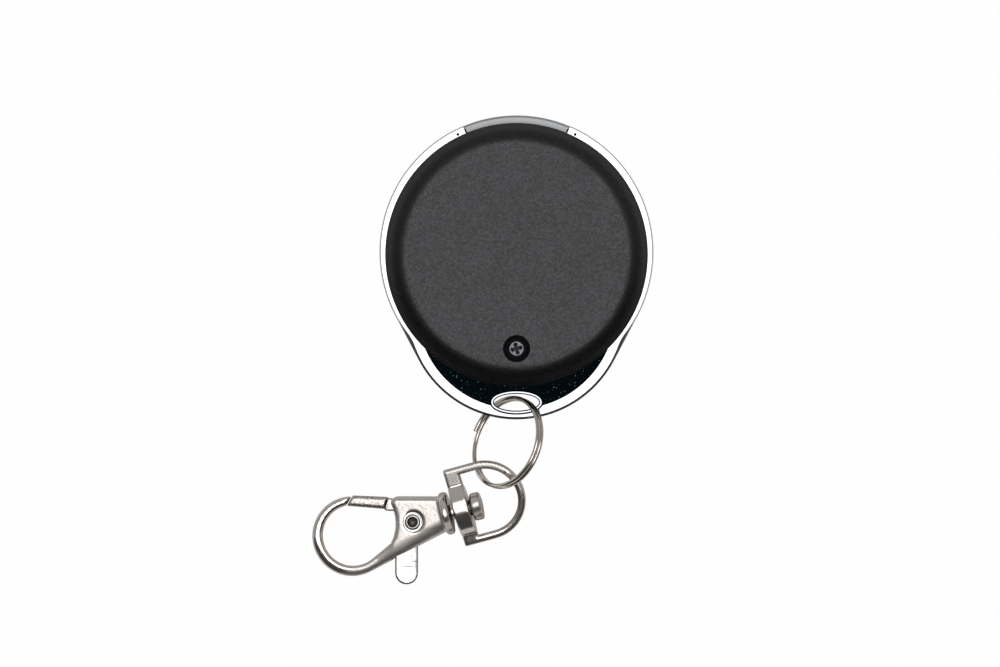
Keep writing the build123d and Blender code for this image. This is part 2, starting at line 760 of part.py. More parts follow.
# Gate lever: one plate with the gate's cast bar at one end and the thumb tab at the other
tab_direction = Vector(0, -1).rotate(Axis.Z, tab_turn)
tab_middle = Vector(*tab_end) - tab_direction * tab_length / 2
with BuildPart() as gate_lever:
    with BuildSketch(hook_plane.offset(lever_from)):
        with Locations(rivet_at):
            Circle(lever_hub_radius)
        for corners in (lever_arm_corners, lever_root_corners):
            with BuildLine():
                Polyline(*corners, close=True)
            make_face()
        with Locations(Location(tab_middle, tab_turn)):
            Rectangle(2 * tab_half_width, tab_length)
        with Locations(tab_end):
            Circle(tab_half_width)
    extrude(amount=lever_to - lever_from)
    with BuildPart(mode=Mode.PRIVATE) as gate_bar:
        with BuildSketch(hook_plane.offset(-1.0)):
            with BuildLine():
                Polyline(*gate_bar_corners, close=True)
            make_face()
        extrude(amount=2.0)
        fillet(gate_bar.edges().filter_by(runs_along_hook), radius=0.4)
    add(gate_bar.part)
    with BuildSketch(hook_plane.offset(-4)):
        with Locations(rivet_at):
            Circle(rivet_shank_radius + 0.05)
    extrude(amount=8, mode=Mode.SUBTRACT)
finish(gate_lever, "gate_lever")

# Gate spring: two turns round the rivet, one leg on the body's wall and one behind the gate
with BuildPart(mode=Mode.PRIVATE) as wound_spring:
    with BuildLine() as spring_path:
        Helix(pitch=spring_pitch, height=spring_pitch * spring_turned / 360, radius=spring_radius)
    with BuildSketch(Plane(origin=spring_path.line @ 0, z_dir=spring_path.line % 0)):
        Circle(spring_wire_radius)
    sweep(path=spring_path.line, is_frenet=True)
    with BuildSketch(Plane(origin=spring_path.line @ 0, z_dir=-(spring_path.line % 0))):
        Circle(spring_wire_radius)
    extrude(amount=1.9)
    with BuildSketch(Plane(origin=spring_path.line @ 1, z_dir=spring_path.line % 1)):
        Circle(spring_wire_radius)
    extrude(amount=3.0)
with BuildPart() as gate_spring:
    spring_plane = hook_plane.offset(lever_to + spring_clearance + spring_wire_radius)
    spring_start = Plane(
        origin=spring_plane.from_local_coords(Vector(*rivet_at, 0)),
        x_dir=hook_plane.x_dir.rotate(Axis((0, 0, 0), hook_plane.z_dir), 60),
        z_dir=hook_plane.z_dir,
    )
    with Locations(spring_start.location):
        add(wound_spring.part)
finish(gate_spring, "gate_spring")
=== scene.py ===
# Looks of a garage door remote with its split ring and swivel snap hook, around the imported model.
# Own meshes are worked out in millimetres and scaled to metres when they become a piece, and the
# materials measure in millimetres too.

import json
import math
import time

import bmesh
import bpy
from mathutils import Matrix, Vector

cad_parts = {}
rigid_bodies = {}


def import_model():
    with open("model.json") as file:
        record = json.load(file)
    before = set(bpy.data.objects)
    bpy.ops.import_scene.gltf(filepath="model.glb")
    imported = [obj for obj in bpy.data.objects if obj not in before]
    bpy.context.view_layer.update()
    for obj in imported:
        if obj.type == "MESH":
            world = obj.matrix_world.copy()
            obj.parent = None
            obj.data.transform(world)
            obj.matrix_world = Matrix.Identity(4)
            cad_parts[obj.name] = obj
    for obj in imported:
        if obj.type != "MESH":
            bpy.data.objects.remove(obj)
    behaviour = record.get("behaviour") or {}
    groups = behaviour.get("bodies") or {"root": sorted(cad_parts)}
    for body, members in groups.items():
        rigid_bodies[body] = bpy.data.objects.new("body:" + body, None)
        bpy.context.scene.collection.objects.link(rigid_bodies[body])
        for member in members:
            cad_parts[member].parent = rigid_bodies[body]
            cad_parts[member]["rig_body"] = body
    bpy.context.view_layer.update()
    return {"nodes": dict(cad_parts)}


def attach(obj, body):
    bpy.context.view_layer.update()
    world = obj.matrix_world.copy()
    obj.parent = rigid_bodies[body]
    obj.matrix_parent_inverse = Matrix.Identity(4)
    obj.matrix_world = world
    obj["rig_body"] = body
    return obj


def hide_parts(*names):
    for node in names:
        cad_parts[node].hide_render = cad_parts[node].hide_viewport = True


startTime = time.time()
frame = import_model()
nodes = frame["nodes"]
mm = 0.001


def report(words):
    print(f"[{time.time() - startTime:5.1f} s] {words}")


report(f"frame loaded, {len(nodes)} nodes")


# Mesh tools

def turned(degrees):
    return Vector((math.cos(math.radians(degrees)), math.sin(math.radians(degrees))))


def circleOf(radius, count, centre=(0, 0)):
    return [Vector(centre) + turned(360 * number / count) * radius for number in range(count)]


def loft(rows, around=False, slots=None):
    # a closed skin over loops of points, with an end face at both ends, or none where it comes round again
    skin = bmesh.new()
    loops = [[skin.verts.new(point) for point in row] for row in rows]
    for number, (first, second) in enumerate(zip(loops, loops[1:] + (loops[:1] if around else []))):
        for here in range(len(first)):
            after = (here + 1) % len(first)
            face = skin.faces.new((first[here], first[after], second[after], second[here]))
            face.material_index = slots[number] if slots else 0
    if not around:
        skin.faces.new(loops[0][::-1])
        skin.faces.new(loops[-1])
    bmesh.ops.recalc_face_normals(skin, faces=skin.faces)
    mesh = bpy.data.meshes.new("skin")
    skin.to_mesh(mesh)
    skin.free()
    return mesh


def placed(mesh, name):
    thing = bpy.data.objects.new(name, mesh)
    bpy.context.scene.collection.objects.link(thing)
    return thing


def settled(thing):
    # the mesh that the modifiers give becomes the object's own
    graph = bpy.context.evaluated_depsgraph_get()
    mesh = bpy.data.meshes.new_from_object(thing.evaluated_get(graph))
    thing.modifiers.clear()
    thing.data = mesh


def combined(thing, operation, mesh):
    # thing with another skin joined to it or cut from it
    other = placed(mesh, "tool")
    for slot in thing.data.materials:
        mesh.materials.append(slot)
    change = thing.modifiers.new("change", "BOOLEAN")
    change.operation = operation
    change.object = other
    change.solver = "EXACT"
    settled(thing)
    bpy.data.objects.remove(other)


def becomesPiece(thing, node, sharpDegrees):
    # thing stands for a node and rides on its body
    mesh = thing.data
    mesh.transform(Matrix.Scale(mm, 4))
    mesh.shade_smooth()
    mesh.set_sharp_from_angle(angle=math.radians(sharpDegrees))
    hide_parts(node)
    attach(thing, nodes[node]["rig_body"])


# Shader graphs as Python expressions

class Wire:
    # one output socket of a node, which takes part in sums as a number does
    def __init__(self, graph, socket):
        self.graph = graph
        self.socket = socket

    def sum(self, operation, *values):
        return self.graph.add("ShaderNodeMath", {"operation": operation}, dict(enumerate(values)))

    def __add__(self, other):
        return self.sum("ADD", self, other)

    def __radd__(self, other):
        return self.sum("ADD", other, self)

    def __sub__(self, other):
        return self.sum("SUBTRACT", self, other)

    def __rsub__(self, other):
        return self.sum("SUBTRACT", other, self)

    def __mul__(self, other):
        return self.sum("MULTIPLY", self, other)

    def __gt__(self, other):
        return self.sum("GREATER_THAN", self, other)

    def __lt__(self, other):
        return self.sum("LESS_THAN", self, other)

    def __mod__(self, other):
        return self.sum("FLOORED_MODULO", self, other)

    def __abs__(self):
        return self.sum("ABSOLUTE", self)

    def clamped(self):
        return self.least(1.0).most(0.0)

    def least(self, other):
        return self.sum("MINIMUM", self, other)

    def most(self, other):
        return self.sum("MAXIMUM", self, other)

    def step(self, low, high):
        # 0 below low and 1 above high, with a soft rise between
        return self.graph.add("ShaderNodeMapRange", {"interpolation_type": "SMOOTHSTEP"},
                              {"Value": self, "From Min": low, "From Max": high})

    def part(self, name):
        # another output of the same node
        return Wire(self.graph, self.socket.node.outputs[name])


class Graph:
    def __init__(self, tree):
        self.tree = tree
        tree.nodes.clear()

    def add(self, kind, settings=None, sockets=None, output=0):
        node = self.tree.nodes.new(kind)
        for name, value in (settings or {}).items():
            setattr(node, name, value)
        for name, value in (sockets or {}).items():
            if isinstance(value, Wire):
                self.tree.links.new(value.socket, node.inputs[name])
            else:
                node.inputs[name].default_value = value
        return Wire(self, node.outputs[output]) if node.outputs else None

    def placeMm(self, stretch=(1, 1, 1)):
        # the point on the piece itself, in millimetres, so that a finish stays put when the piece moves
        place = self.add("ShaderNodeTexCoord", output="Object")
        scale = [share / mm for share in stretch]
        return self.add("ShaderNodeVectorMath", {"operation": "MULTIPLY"}, {0: place, 1: scale})

    def noise(self, place, perMm, detail=3.0, roughness=0.55):
        sockets = {"Vector": place, "Scale": perMm, "Detail": detail, "Roughness": roughness}
        return self.add("ShaderNodeTexNoise", {}, sockets)

    def cells(self, place, perMm, feature="F1", output="Distance"):
        sockets = {"Vector": place, "Scale": perMm}
        return self.add("ShaderNodeTexVoronoi", {"feature": feature}, sockets, output)

    def red(self, tint):
        # the red of a colour, which for cells is a random share of each
        return self.add("ShaderNodeSeparateColor", {}, {0: tint})

    def along(self, place, way):
        return self.add("ShaderNodeVectorMath", {"operation": "DOT_PRODUCT"}, {0: place, 1: way}, "Value")

    def mixed(self, share, first, second):
        # between two tints, each a wire or its red, green and blue
        first, second = (tint if isinstance(tint, Wire) else (*tint, 1.0) for tint in (first, second))
        return self.add("ShaderNodeMix", {"data_type": "RGBA"}, {0: share, 6: first, 7: second}, 2)

    def bump(self, height, depthMm):
        return self.add("ShaderNodeBump", {}, {"Height": height, "Distance": depthMm * mm, "Strength": 1.0})

    def axes(self, place):
        parts = self.add("ShaderNodeSeparateXYZ", {}, {0: place})
        return parts, parts.part("Y"), parts.part("Z")


def finishOf(name, build):
    # a material whose surface comes from the Principled sockets that build gives by name
    material = bpy.data.materials.new(name)
    material.use_nodes = True
    graph = Graph(material.node_tree)
    surface = graph.add("ShaderNodeBsdfPrincipled", {}, build(graph))
    graph.add("ShaderNodeOutputMaterial", {}, {"Surface": surface})
    return material


def specks(graph, place, perMm, share, radius):
    # scattered grains of dust: a share of the cells hold one each, with a radius in widths of a cell
    spot = graph.cells(place, perMm)
    chosen = graph.red(spot.part("Color")) > (1 - share)
    return chosen * (1 - spot.step(radius * 0.5, radius))


# Plain finishes: a fine grain mottles them between two tones and adds to their roughness

# grain: how many in a millimetre, and their detail; roughness: the least, and what the grain adds
plainLooks = {
    # the crest of the eye's lip, rubbed greyer by the split ring
    "rubbedChrome": {
        "tones": ((0.32, 0.33, 0.36), (0.46, 0.47, 0.50)),
        "metallic": 1.0, "roughness": (0.05, 0.06), "grain": (2.0, 3.0), "bumpMm": 0.002,
    },
    "satinGrey": {
        "tones": ((0.83, 0.84, 0.86), (0.92, 0.93, 0.95)),
        "metallic": 0.0, "roughness": (0.38, 0.08), "grain": (6.0, 2.0), "bumpMm": 0.006,
    },
    "wireNickel": {
        "tones": ((0.66, 0.59, 0.53), (0.80, 0.74, 0.69)), "tonesFade": (0.35, 0.7),
        "metallic": 1.0, "roughness": (0.10, 0.06), "grain": (0.35, 2.0), "bumpMm": 0.002,
    },
    "rivetNickel": {
        "tones": ((0.70, 0.68, 0.66), (0.84, 0.82, 0.80)),
        "metallic": 1.0, "roughness": (0.16, 0.14), "grain": (3.0, 3.0), "bumpMm": 0.01,
    },
    # painted shade: the rivet's hollow, the foot of its crest and its joint with the hook are painted dark
    "rivetPaintedShade": {
        "tones": ((0.07, 0.055, 0.050), (0.22, 0.18, 0.16)), "tonesFade": (0.35, 0.7),
        "metallic": 0.6, "roughness": (0.34, 0.2), "grain": (2.4, 3.0), "bumpMm": 0.02,
    },
    "steel": {
        "tones": ((0.40, 0.40, 0.40), (0.58, 0.58, 0.57)),
        "metallic": 1.0, "roughness": (0.22, 0.2), "grain": (3.5, 3.0), "bumpMm": 0.008,
    },
    "brushedSteel": {
        "tones": ((0.55, 0.55, 0.55), (0.74, 0.74, 0.73)), "stretch": (0.15, 4.0, 1.0),
        "metallic": 1.0, "roughness": (0.24, 0.16), "grain": (1.6, 3.0), "bumpMm": 0.006,
    },
}


def plainFinish(look):
    def build(graph):
        place = graph.placeMm(look.get("stretch", (1, 1, 1)))
        grain = graph.noise(place, *look["grain"])
        share = grain.step(*look["tonesFade"]) if "tonesFade" in look else grain
        least, added = look["roughness"]
        return {
            "Base Color": graph.mixed(share, *look["tones"]),
            "Metallic": look["metallic"],
            "Roughness": least + grain * added,
            "Normal": graph.bump(grain, look["bumpMm"]),
        }
    return build


plain = {name: plainFinish(look) for name, look in plainLooks.items()}


# Finishes of the fob's outside

screw = {
    "y": -17.07,
    "headRadius": 1.35,
    "recessRadius": 2.39,
    "seat": 8.7,
    "headHeight": 0.9,
    "headRows": 44,
    "middleRadius": 0.03,
    "crown": 0.012,
    "rim": 0.15,
    # the cross: its arms' length, half their width in the middle and at the ends, and how its floor rises
    "armLength": 1.06,
    "armHalf": (0.23, 0.40),
    "armEdge": 0.07,
    "recessDepth": 0.55,
    "recessRise": 0.35,
    "turn": 15,
    "plating": ((0.12, 0.12, 0.13), (0.27, 0.27, 0.28)),
    # the painted shade of the head's recess, and the heights below which it is painted
    "black": (0.02, 0.02, 0.022),
    "paintedShadeBelow": (9.40, 9.52),
    # the shank
    "neck": 0.05,
    "shankRadius": 0.85,
    "shankRows": 130,
    "threadDepth": 0.16,
    "threadPitch": 0.65,
    "tipLength": 0.5,
    "tipTaper": 0.35,
    "end": 2.62,
    "points": 192,
    "sharpDegrees": 50,
}


# the cover's finish: its tones, the heights between which it changes, and the y between which it dulls;
# specks are their cells in a millimetre, the share of cells that hold one, and its radius
cover = {
    "blacks": ((0.0010, 0.0010, 0.0014), (0.115, 0.115, 0.130)),
    "dust": (0.30, 0.31, 0.31),
    "dustSpecks": (0.8, 0.10, 0.085),
    "grainPerMm": 3.0,
    "fleckPerMm": 3.6,
    "cloudPerMm": 0.12,
    "roughness": 0.37,
    "bumpMm": 0.045,
    # heights over which the painted shade of the rounded edge gives way to the flat top
    "paintedEdgeShadeBelow": (11.88, 11.99),
    "mattBelow": (8.6, 11.5),
    "dullBelow": (10.6, 11.7),
    "dullTowardsTongue": (-16.0, 2.0),
    "recessBelow": 11.7,
}


def softTouch(graph):
    # the floor of the screw's recess is smooth, the rounded edge is matt and painted darker as shade, and
    # dull towards the tongue
    place = graph.placeMm()
    x, y, z = graph.axes(place)
    away = y - screw["y"]
    recess = (x * x + away * away < screw["recessRadius"] ** 2) * (z < cover["recessBelow"])
    grain = graph.noise(place, cover["grainPerMm"], 2.0, 0.75)
    cloud = graph.noise(place, cover["cloudPerMm"], 2.0)
    fleck = graph.red(graph.cells(place, cover["fleckPerMm"], output="Color"))
    dust = specks(graph, place, *cover["dustSpecks"])
    edge = 1 - z.step(*cover["mattBelow"])
    dull = (1 - z.step(*cover["dullBelow"])) * (1 - y.step(*cover["dullTowardsTongue"])) * (1 - recess)
    flat = z.step(*cover["paintedEdgeShadeBelow"])
    # painted shade: below the flat top the tone is cut to 12 per cent, darkening the rounded edge
    tone = (fleck * 0.7 + (grain - 0.5) * 1.4 + (cloud - 0.5) * 0.3 - 0.05).clamped() * (0.12 + flat * 0.88)
    return {
        "Base Color": graph.mixed(dust * 0.3, graph.mixed(tone, *cover["blacks"]), cover["dust"]),
        "Metallic": dull * 0.85,
        "Roughness": (cover["roughness"] + (grain - 0.5) * 0.25 + edge * 0.5) * (1 - recess * 0.8),
        "Normal": graph.bump(grain * (1 - recess), cover["bumpMm"]),
    }


chrome = {
    "plating": (0.64, 0.65, 0.67),
    "dust": (0.20, 0.27, 0.28),
    "dustSpecks": (2.1, 0.50, 0.16),
    "lintSpecks": (4.4, 0.24, 0.17),
    "roughness": 0.03,
    "bumpMm": 0.002,
}


def mirrorChrome(graph):
    place = graph.placeMm()
    dust = specks(graph, place, *chrome["dustSpecks"])
    lint = specks(graph, place, *chrome["lintSpecks"])
    grit = (dust * 0.7 + lint * 0.4).clamped()
    return {
        "Base Color": graph.mixed(grit, chrome["plating"], chrome["dust"]),
        "Metallic": 1.0 - grit * 0.8,
        "Roughness": chrome["roughness"] + grit * 0.4,
        "Normal": graph.bump(graph.noise(place, 0.5, 2.0), chrome["bumpMm"]),
    }


# the groove under the bevel is a thin grey line round the ring, and round the tongue and the eye's lip it is
# painted black as shade, standing in for the shadowed floor it mirrors
seam = {
    "grey": (0.60, 0.62, 0.66),
    "blacks": ((0.006, 0.008, 0.012), (0.03, 0.018, 0.014)),
    "paintedShadeTowardsTongue": (-19.0, -11.0),
}


def bezelSeamShade(graph):
    place = graph.placeMm()
    # painted shade: black towards the tongue
    tongue = 1 - graph.axes(place)[1].step(*seam["paintedShadeTowardsTongue"])
    grain = graph.noise(place, 2.0)
    return {
        "Base Color": graph.mixed(tongue, seam["grey"], graph.mixed(grain, *seam["blacks"])),
        "Metallic": 1.0,
        "Roughness": 0.12 + grain * 0.1,
    }


shell = {
    "blacks": ((0.022, 0.022, 0.024), (0.036, 0.036, 0.038)),
    "cellsPerMm": 4.0,
    "bumpMm": 0.02,
}


def shellBlack(graph):
    grain = graph.cells(graph.placeMm(), shell["cellsPerMm"])
    return {
        "Base Color": graph.mixed(grain, *shell["blacks"]),
        "Roughness": 0.42 + grain * 0.2,
        "Normal": graph.bump(grain, shell["bumpMm"]),
    }


# the raised dots of the buttons, which stand lowest, are worn paler
button = {
    "rubber": ((0.075, 0.075, 0.08), (0.11, 0.11, 0.115)),
    "dots": (0.62, 0.62, 0.60),
    "dotsBelow": (0.24, 0.32),
}


def buttonRubber(graph):
    place = graph.placeMm()
    grain = graph.noise(place, 5.0, 3.0)
    dot = 1 - graph.axes(place)[2].step(*button["dotsBelow"])
    return {
        "Base Color": graph.mixed(dot * 0.85, graph.mixed(grain, *button["rubber"]), button["dots"]),
        "Roughness": 0.55 + grain * 0.15,
        "Normal": graph.bump(grain, 0.01),
    }


def platedScrew(graph):
    # painted shade: black in the recess of the head, standing in for the shade there
    place = graph.placeMm()
    grain = graph.noise(place, 5.0, 3.0)
    recessShade = 1 - graph.axes(place)[2].step(*screw["paintedShadeBelow"])
    plating = graph.mixed(grain.step(0.35, 0.7), *screw["plating"])
    return {
        "Base Color": graph.mixed(recessShade, plating, screw["black"]),
        "Metallic": 1.0,
        "Roughness": 0.20 + grain * 0.2,
        "Normal": graph.bump(grain, 0.012),
    }


# Finishes of the chain

# the castings' nickel has polished faces with stains, sides painted darker as shade, and a satin part of the
# hook and
# of the bail: a direction, and the millimetres along it between which that fades
nickel = {
    "face": (0.88, 0.82, 0.77),
    "stain": (0.50, 0.43, 0.38),
    # the painted shade of the sides
    "side": (0.36, 0.29, 0.25),
    # how far a normal is from level, on the sides, which are painted in shade, and on the faces
    "sideToFace": (0.30, 0.80),
    "roughness": 0.15,
    "satinRoughness": 0.22,
    "hookInward": (-0.4661, 0.8843, -0.0283),
    "hookFades": (-36.8, -34.7),
    "bailAcross": (-0.284, 0.938, 0.198),
    "bailFades": (-34.4, -34.25),
    "bumpMm": 0.02,
}


def paintedSideShade(graph):
    # painted shade: 0 on the polished faces of a flat piece and 1 on its sides, which are painted darker
    facing = graph.add("ShaderNodeTexCoord", output="Normal")
    return 1 - abs(graph.axes(facing)[2]).step(*nickel["sideToFace"])


def castNickel(graph, place, matt):
    # polished casting: warm plating over a faint orange peel, with painted shade, browner and darker, on the
    # sides
    peel = graph.noise(place, 1.1, 2.0)
    grain = graph.noise(place, 4.5, 3.0, 0.6)
    stain = graph.noise(place, 1.6, 4.0, 0.65).step(0.54, 0.80)
    face = graph.mixed(stain * 0.45, nickel["face"], nickel["stain"])
    smooth = nickel["roughness"] + (grain - 0.5) * 0.12 + stain * 0.10
    return {
        "Base Color": graph.mixed(paintedSideShade(graph), face, nickel["side"]),
        "Metallic": 1.0,
        "Roughness": smooth + matt * nickel["satinRoughness"],
        "Normal": graph.bump(peel * 0.5 + grain * (0.12 + matt * 0.48), nickel["bumpMm"]),
    }


def castHook(graph):
    # satin near the long lower edge
    place = graph.placeMm()
    return castNickel(graph, place, 1 - graph.along(place, nickel["hookInward"]).step(*nickel["hookFades"]))


def castBail(graph):
    # satin on the end block nearer to the fob
    place = graph.placeMm()
    return castNickel(graph, place, graph.along(place, nickel["bailAcross"]).step(*nickel["bailFades"]))


# the lever's plate is bright with a few scratches, and its bar, beyond this x, is cast and mottled
lever = {
    "face": (0.42, 0.405, 0.39),
    "scratch": (0.14, 0.14, 0.15),
    "cast": ((0.84, 0.78, 0.73), (0.50, 0.43, 0.38)),
    # the painted shade of the sides, as on the castings
    "side": (0.10, 0.09, 0.09),
    "barBeyond": (-23.0, -22.7),
    "roughness": 0.08,
    "bumpMm": 0.012,
}


def pressedNickel(graph):
    place = graph.placeMm()
    bar = 1 - graph.axes(place)[0].step(*lever["barBeyond"])
    hollow = graph.noise(place, 0.7, 2.0)
    pits = graph.noise(place, 3.2, 3.0, 0.6)
    scratch = graph.noise(graph.placeMm((0.25, 3.0, 1.0)), 1.1, 3.0).step(0.62, 0.68)
    face = graph.mixed(scratch * 0.9, lever["face"], lever["scratch"])
    cast = graph.mixed(pits.step(0.40, 0.66), *lever["cast"])
    return {
        "Base Color": graph.mixed(paintedSideShade(graph), graph.mixed(bar, face, cast), lever["side"]),
        "Metallic": 1.0,
        "Roughness": lever["roughness"] + hollow * 0.06 + scratch * 0.2 + bar * pits * 0.34,
        "Normal": graph.bump(hollow * 2.0 + bar * pits * 3.0, lever["bumpMm"]),
    }


# Finishes of the inside

def plainPlastic(tone, roughness=0.4):
    def build(graph):
        grain = graph.noise(graph.placeMm(), 4.0, 3.0)
        return {
            "Base Color": graph.mixed(grain, [channel * 0.85 for channel in tone], tone),
            "Roughness": roughness + (grain - 0.5) * 0.15,
            "Normal": graph.bump(grain, 0.006),
        }
    return build


# tinned legs and end caps: the middle of a body along x or y, and how far from there they begin
tinned = {
    "tin": (0.72, 0.71, 0.69),
    "chipAlongY": (-11.2, 1.97),
    "transistorAlongX": (-16.5, 0.72),
    "resistorAlongX": (15.5, 0.52),
    "capacitorFirstX": -3.4,
    "capacitorPitch": 2.3,
    "capacitorHalf": 0.52,
    "switchCapBelow": (3.9, 4.0),
}


def tinnedWhere(tone, mask):
    # a moulded body with tinned metal where the mask is 1
    def build(graph):
        place = graph.placeMm()
        grain = graph.noise(place, 4.0, 3.0)
        metal = mask(graph, place)
        body = graph.mixed(grain, [channel * 0.8 for channel in tone], tone)
        return {
            "Base Color": graph.mixed(metal, body, tinned["tin"]),
            "Metallic": metal,
            "Roughness": 0.42 - metal * 0.18 + (grain - 0.5) * 0.15,
            "Normal": graph.bump(grain, 0.008),
        }
    return build


def endsAlong(axis, middle, half):
    # a mask of both ends of a body, along x (0) or y (1)
    def mask(graph, place):
        return abs(graph.axes(place)[axis] - middle) > half
    return mask


def capacitorEnds(graph, place):
    # four chips in a row
    pitch = tinned["capacitorPitch"]
    along = (graph.axes(place)[0] - (tinned["capacitorFirstX"] - pitch / 2)) % pitch
    return abs(along - pitch / 2) > tinned["capacitorHalf"]


def switchCap(graph, place):
    return 1 - graph.axes(place)[2].step(*tinned["switchCapBelow"])


board = {
    "mask": ((0.012, 0.10, 0.035), (0.03, 0.21, 0.075)),
    "pads": (0.68, 0.64, 0.52),
    "padSpecks": (0.5, 0.35, 0.16),
    "tracksPerMm": 0.45,
    "trackEdge": (0.05, 0.08),
    "bumpMm": 0.02,
}


def greenBoard(graph):
    place = graph.placeMm()
    track = 1 - graph.cells(place, board["tracksPerMm"], "DISTANCE_TO_EDGE").step(*board["trackEdge"])
    weave = graph.noise(place, 2.5, 2.0)
    pads = specks(graph, place, *board["padSpecks"])
    return {
        "Base Color": graph.mixed(pads, graph.mixed(track, *board["mask"]), board["pads"]),
        "Metallic": pads,
        "Roughness": 0.28 + weave * 0.12,
        "Normal": graph.bump(track + weave * 0.3, board["bumpMm"]),
    }


coil = {
    # the bright copper, and the painted shade between the turns
    "copper": ((0.72, 0.33, 0.13), (0.30, 0.11, 0.04)),
    "wirePitch": 0.32,
    "bumpMm": 0.06,
}


def copperWinding(graph):
    pitch = coil["wirePitch"]
    # painted shade: the copper darkens towards the edges of each turn, where the turns meet
    turn = abs(graph.axes(graph.placeMm())[1] % pitch - pitch / 2) * 6.0
    return {
        "Base Color": graph.mixed(turn.clamped(), *coil["copper"]),
        "Metallic": 0.8,
        "Roughness": 0.22 + turn * 0.1,
        "Normal": graph.bump(1 - turn, coil["bumpMm"]),
    }


finishes = {
    "chrome_bezel": mirrorChrome,
    "light_window": plain["satinGrey"],
    "back_cover": softTouch,
    "front_shell": shellBlack,
    "switch_bodies": tinnedWhere((0.05, 0.05, 0.05), switchCap),
    "circuit_board": greenBoard,
    "status_led": plainPlastic((0.8, 0.75, 0.5), 0.2),
    "coin_cell": plain["brushedSteel"],
    "battery_clip": plain["steel"],
    "battery_contact": plain["steel"],
    "encoder_chip": tinnedWhere((0.03, 0.03, 0.032), endsAlong(1, *tinned["chipAlongY"])),
    "saw_resonator": plain["brushedSteel"],
    "rf_transistor": tinnedWhere((0.03, 0.03, 0.032), endsAlong(0, *tinned["transistorAlongX"])),
    "tuning_coil": copperWinding,
    "chip_resistors": tinnedWhere((0.03, 0.03, 0.035), endsAlong(0, *tinned["resistorAlongX"])),
    "chip_capacitors": tinnedWhere((0.45, 0.33, 0.18), capacitorEnds),
    "case_screw": platedScrew,
    "split_ring": plain["wireNickel"],
    "swivel_bail": castBail,
    "hook_body": castHook,
    "gate_rivet": plain["rivetNickel"],
    "gate_lever": pressedNickel,
    "gate_spring": plain["steel"],
}
plunger = plainPlastic((0.7, 0.25, 0.06))
for number in range(1, 5):
    finishes[f"button_{number}"] = buttonRubber
    finishes[f"switch_plunger_{number}"] = plunger

materialOf = {}
for name, node in nodes.items():
    build = finishes[name]
    if build not in materialOf:
        materialOf[build] = finishOf(f"{name}_finish", build)
    node.data.materials.clear()
    node.data.materials.append(materialOf[build])
report("finishes made")


# Bezel: a ring that turns into a tongue, bevelled all round, with a lipped oval eye

bezel = {
    "ringRadius": 24.24,
    "holeRadius": 22.3,
    "tongueY": -10.1,
    "tongueRadius": 19.37,
    "tongueBulge": 0.12,
    "blendRadius": 9.0,
    "pointsPerMm": 3.5,
    "fewestPoints": 6,
    # each point of a profile: distance in from the outline, height, finish of the strip up to it
    "upper": [(0.20, 4.70, 0), (0.20, 6.10, 0), (0.21, 6.34, 1), (0.26, 6.50, 1), (0.33, 6.59, 1),
              (1.74, 6.80, 0)],
    "plate": [(0.25, 4.40, 0), (0.07, 4.47, 0), (0.0, 4.65, 0), (0.0, 4.85, 0), (0.14, 5.0, 1),
              (1.0, 5.3, 0)],
    "plateInset": 0.03,
    "wall": [(0.95, 0.0, 0), (0.48, 0.13, 0), (0.13, 0.48, 0), (0.0, 0.95, 0), (0.0, 3.9, 0),
             (0.36, 5.35, 0)],
    "holeHeights": (-1.0, 9.0),
    "holePoints": 360,
    "eyeY": -26.55,
    "eyeHalf": (4.0, 1.475),
    "eyePoints": 280,
    # for the eye, which is an opening, the distance is outwards
    "eyeCut": [(0.3, 3.0, 0), (0.3, 9.0, 0)],
    "lip": [(0.0, 4.55, 0), (0.0, 6.74, 0), (0.05, 6.85, 1), (0.20, 6.95, 1), (0.42, 6.925, 2),
            (0.50, 6.88, 1), (0.72, 6.79, 1), (0.72, 6.60, 0), (0.45, 4.42, 0), (0.10, 4.42, 0)],
    # the notch for the light window: radius and height of its section
    "notchSection": [(20.0, 1.8), (23.7, 1.95), (24.3, 1.76), (25.0, 1.76), (25.0, 9.0), (20.0, 9.0)],
    "notchHalfDegrees": 23.2,
    "notchSteps": 24,
    # a dimple on both sides of the window
    "dotPlace": (10.35, 20.75),
    "dotRadius": 0.27,
    "dotHeights": (4.0, 9.0),
    "sharpDegrees": 6,
}


def arcOf(centre, radius, start, end, hollow=False):
    # an arc's points, each with the way out of the outline
    length = abs(math.radians(end - start)) * radius
    count = max(bezel["fewestPoints"], round(length * bezel["pointsPerMm"]))
    for number in range(count):
        way = turned(start + (end - start) * number / count)
        yield Vector(centre) + way * radius, (-way if hollow else way)


def bezelOutline():
    ring, tongue, blend = bezel["ringRadius"], bezel["tongueRadius"], bezel["blendRadius"]
    low = bezel["tongueY"]
    blendY = (low ** 2 + (ring + blend) ** 2 - (tongue + blend) ** 2) / (2 * low)
    blendX = math.sqrt((ring + blend) ** 2 - blendY ** 2)
    atRing = math.degrees(math.atan2(blendY, blendX))  # where ring and blend touch, on the right
    atTongue = math.degrees(math.atan2(blendY - low, blendX))
    yield from arcOf((0, 0), ring, atRing, 180 - atRing)
    yield from arcOf((-blendX, blendY), blend, -atRing, -atTongue, True)
    yield from arcOf((0, low), tongue, 180 - atTongue, 360 + atTongue)
    yield from arcOf((blendX, blendY), blend, 180 + atTongue, 180 + atRing, True)


def plateOutline():
    # both circles with straight sides between, a hair inside the ring's own wall
    ring, low = bezel["ringRadius"] - bezel["plateInset"], bezel["tongueY"]
    tongue = bezel["tongueRadius"] + bezel["tongueBulge"]
    touch = math.degrees(math.asin((ring - tongue) / low))
    yield from arcOf((0, 0), ring, touch, 180 - touch)
    yield from arcOf((0, low), tongue, 180 - touch, 360 + touch)


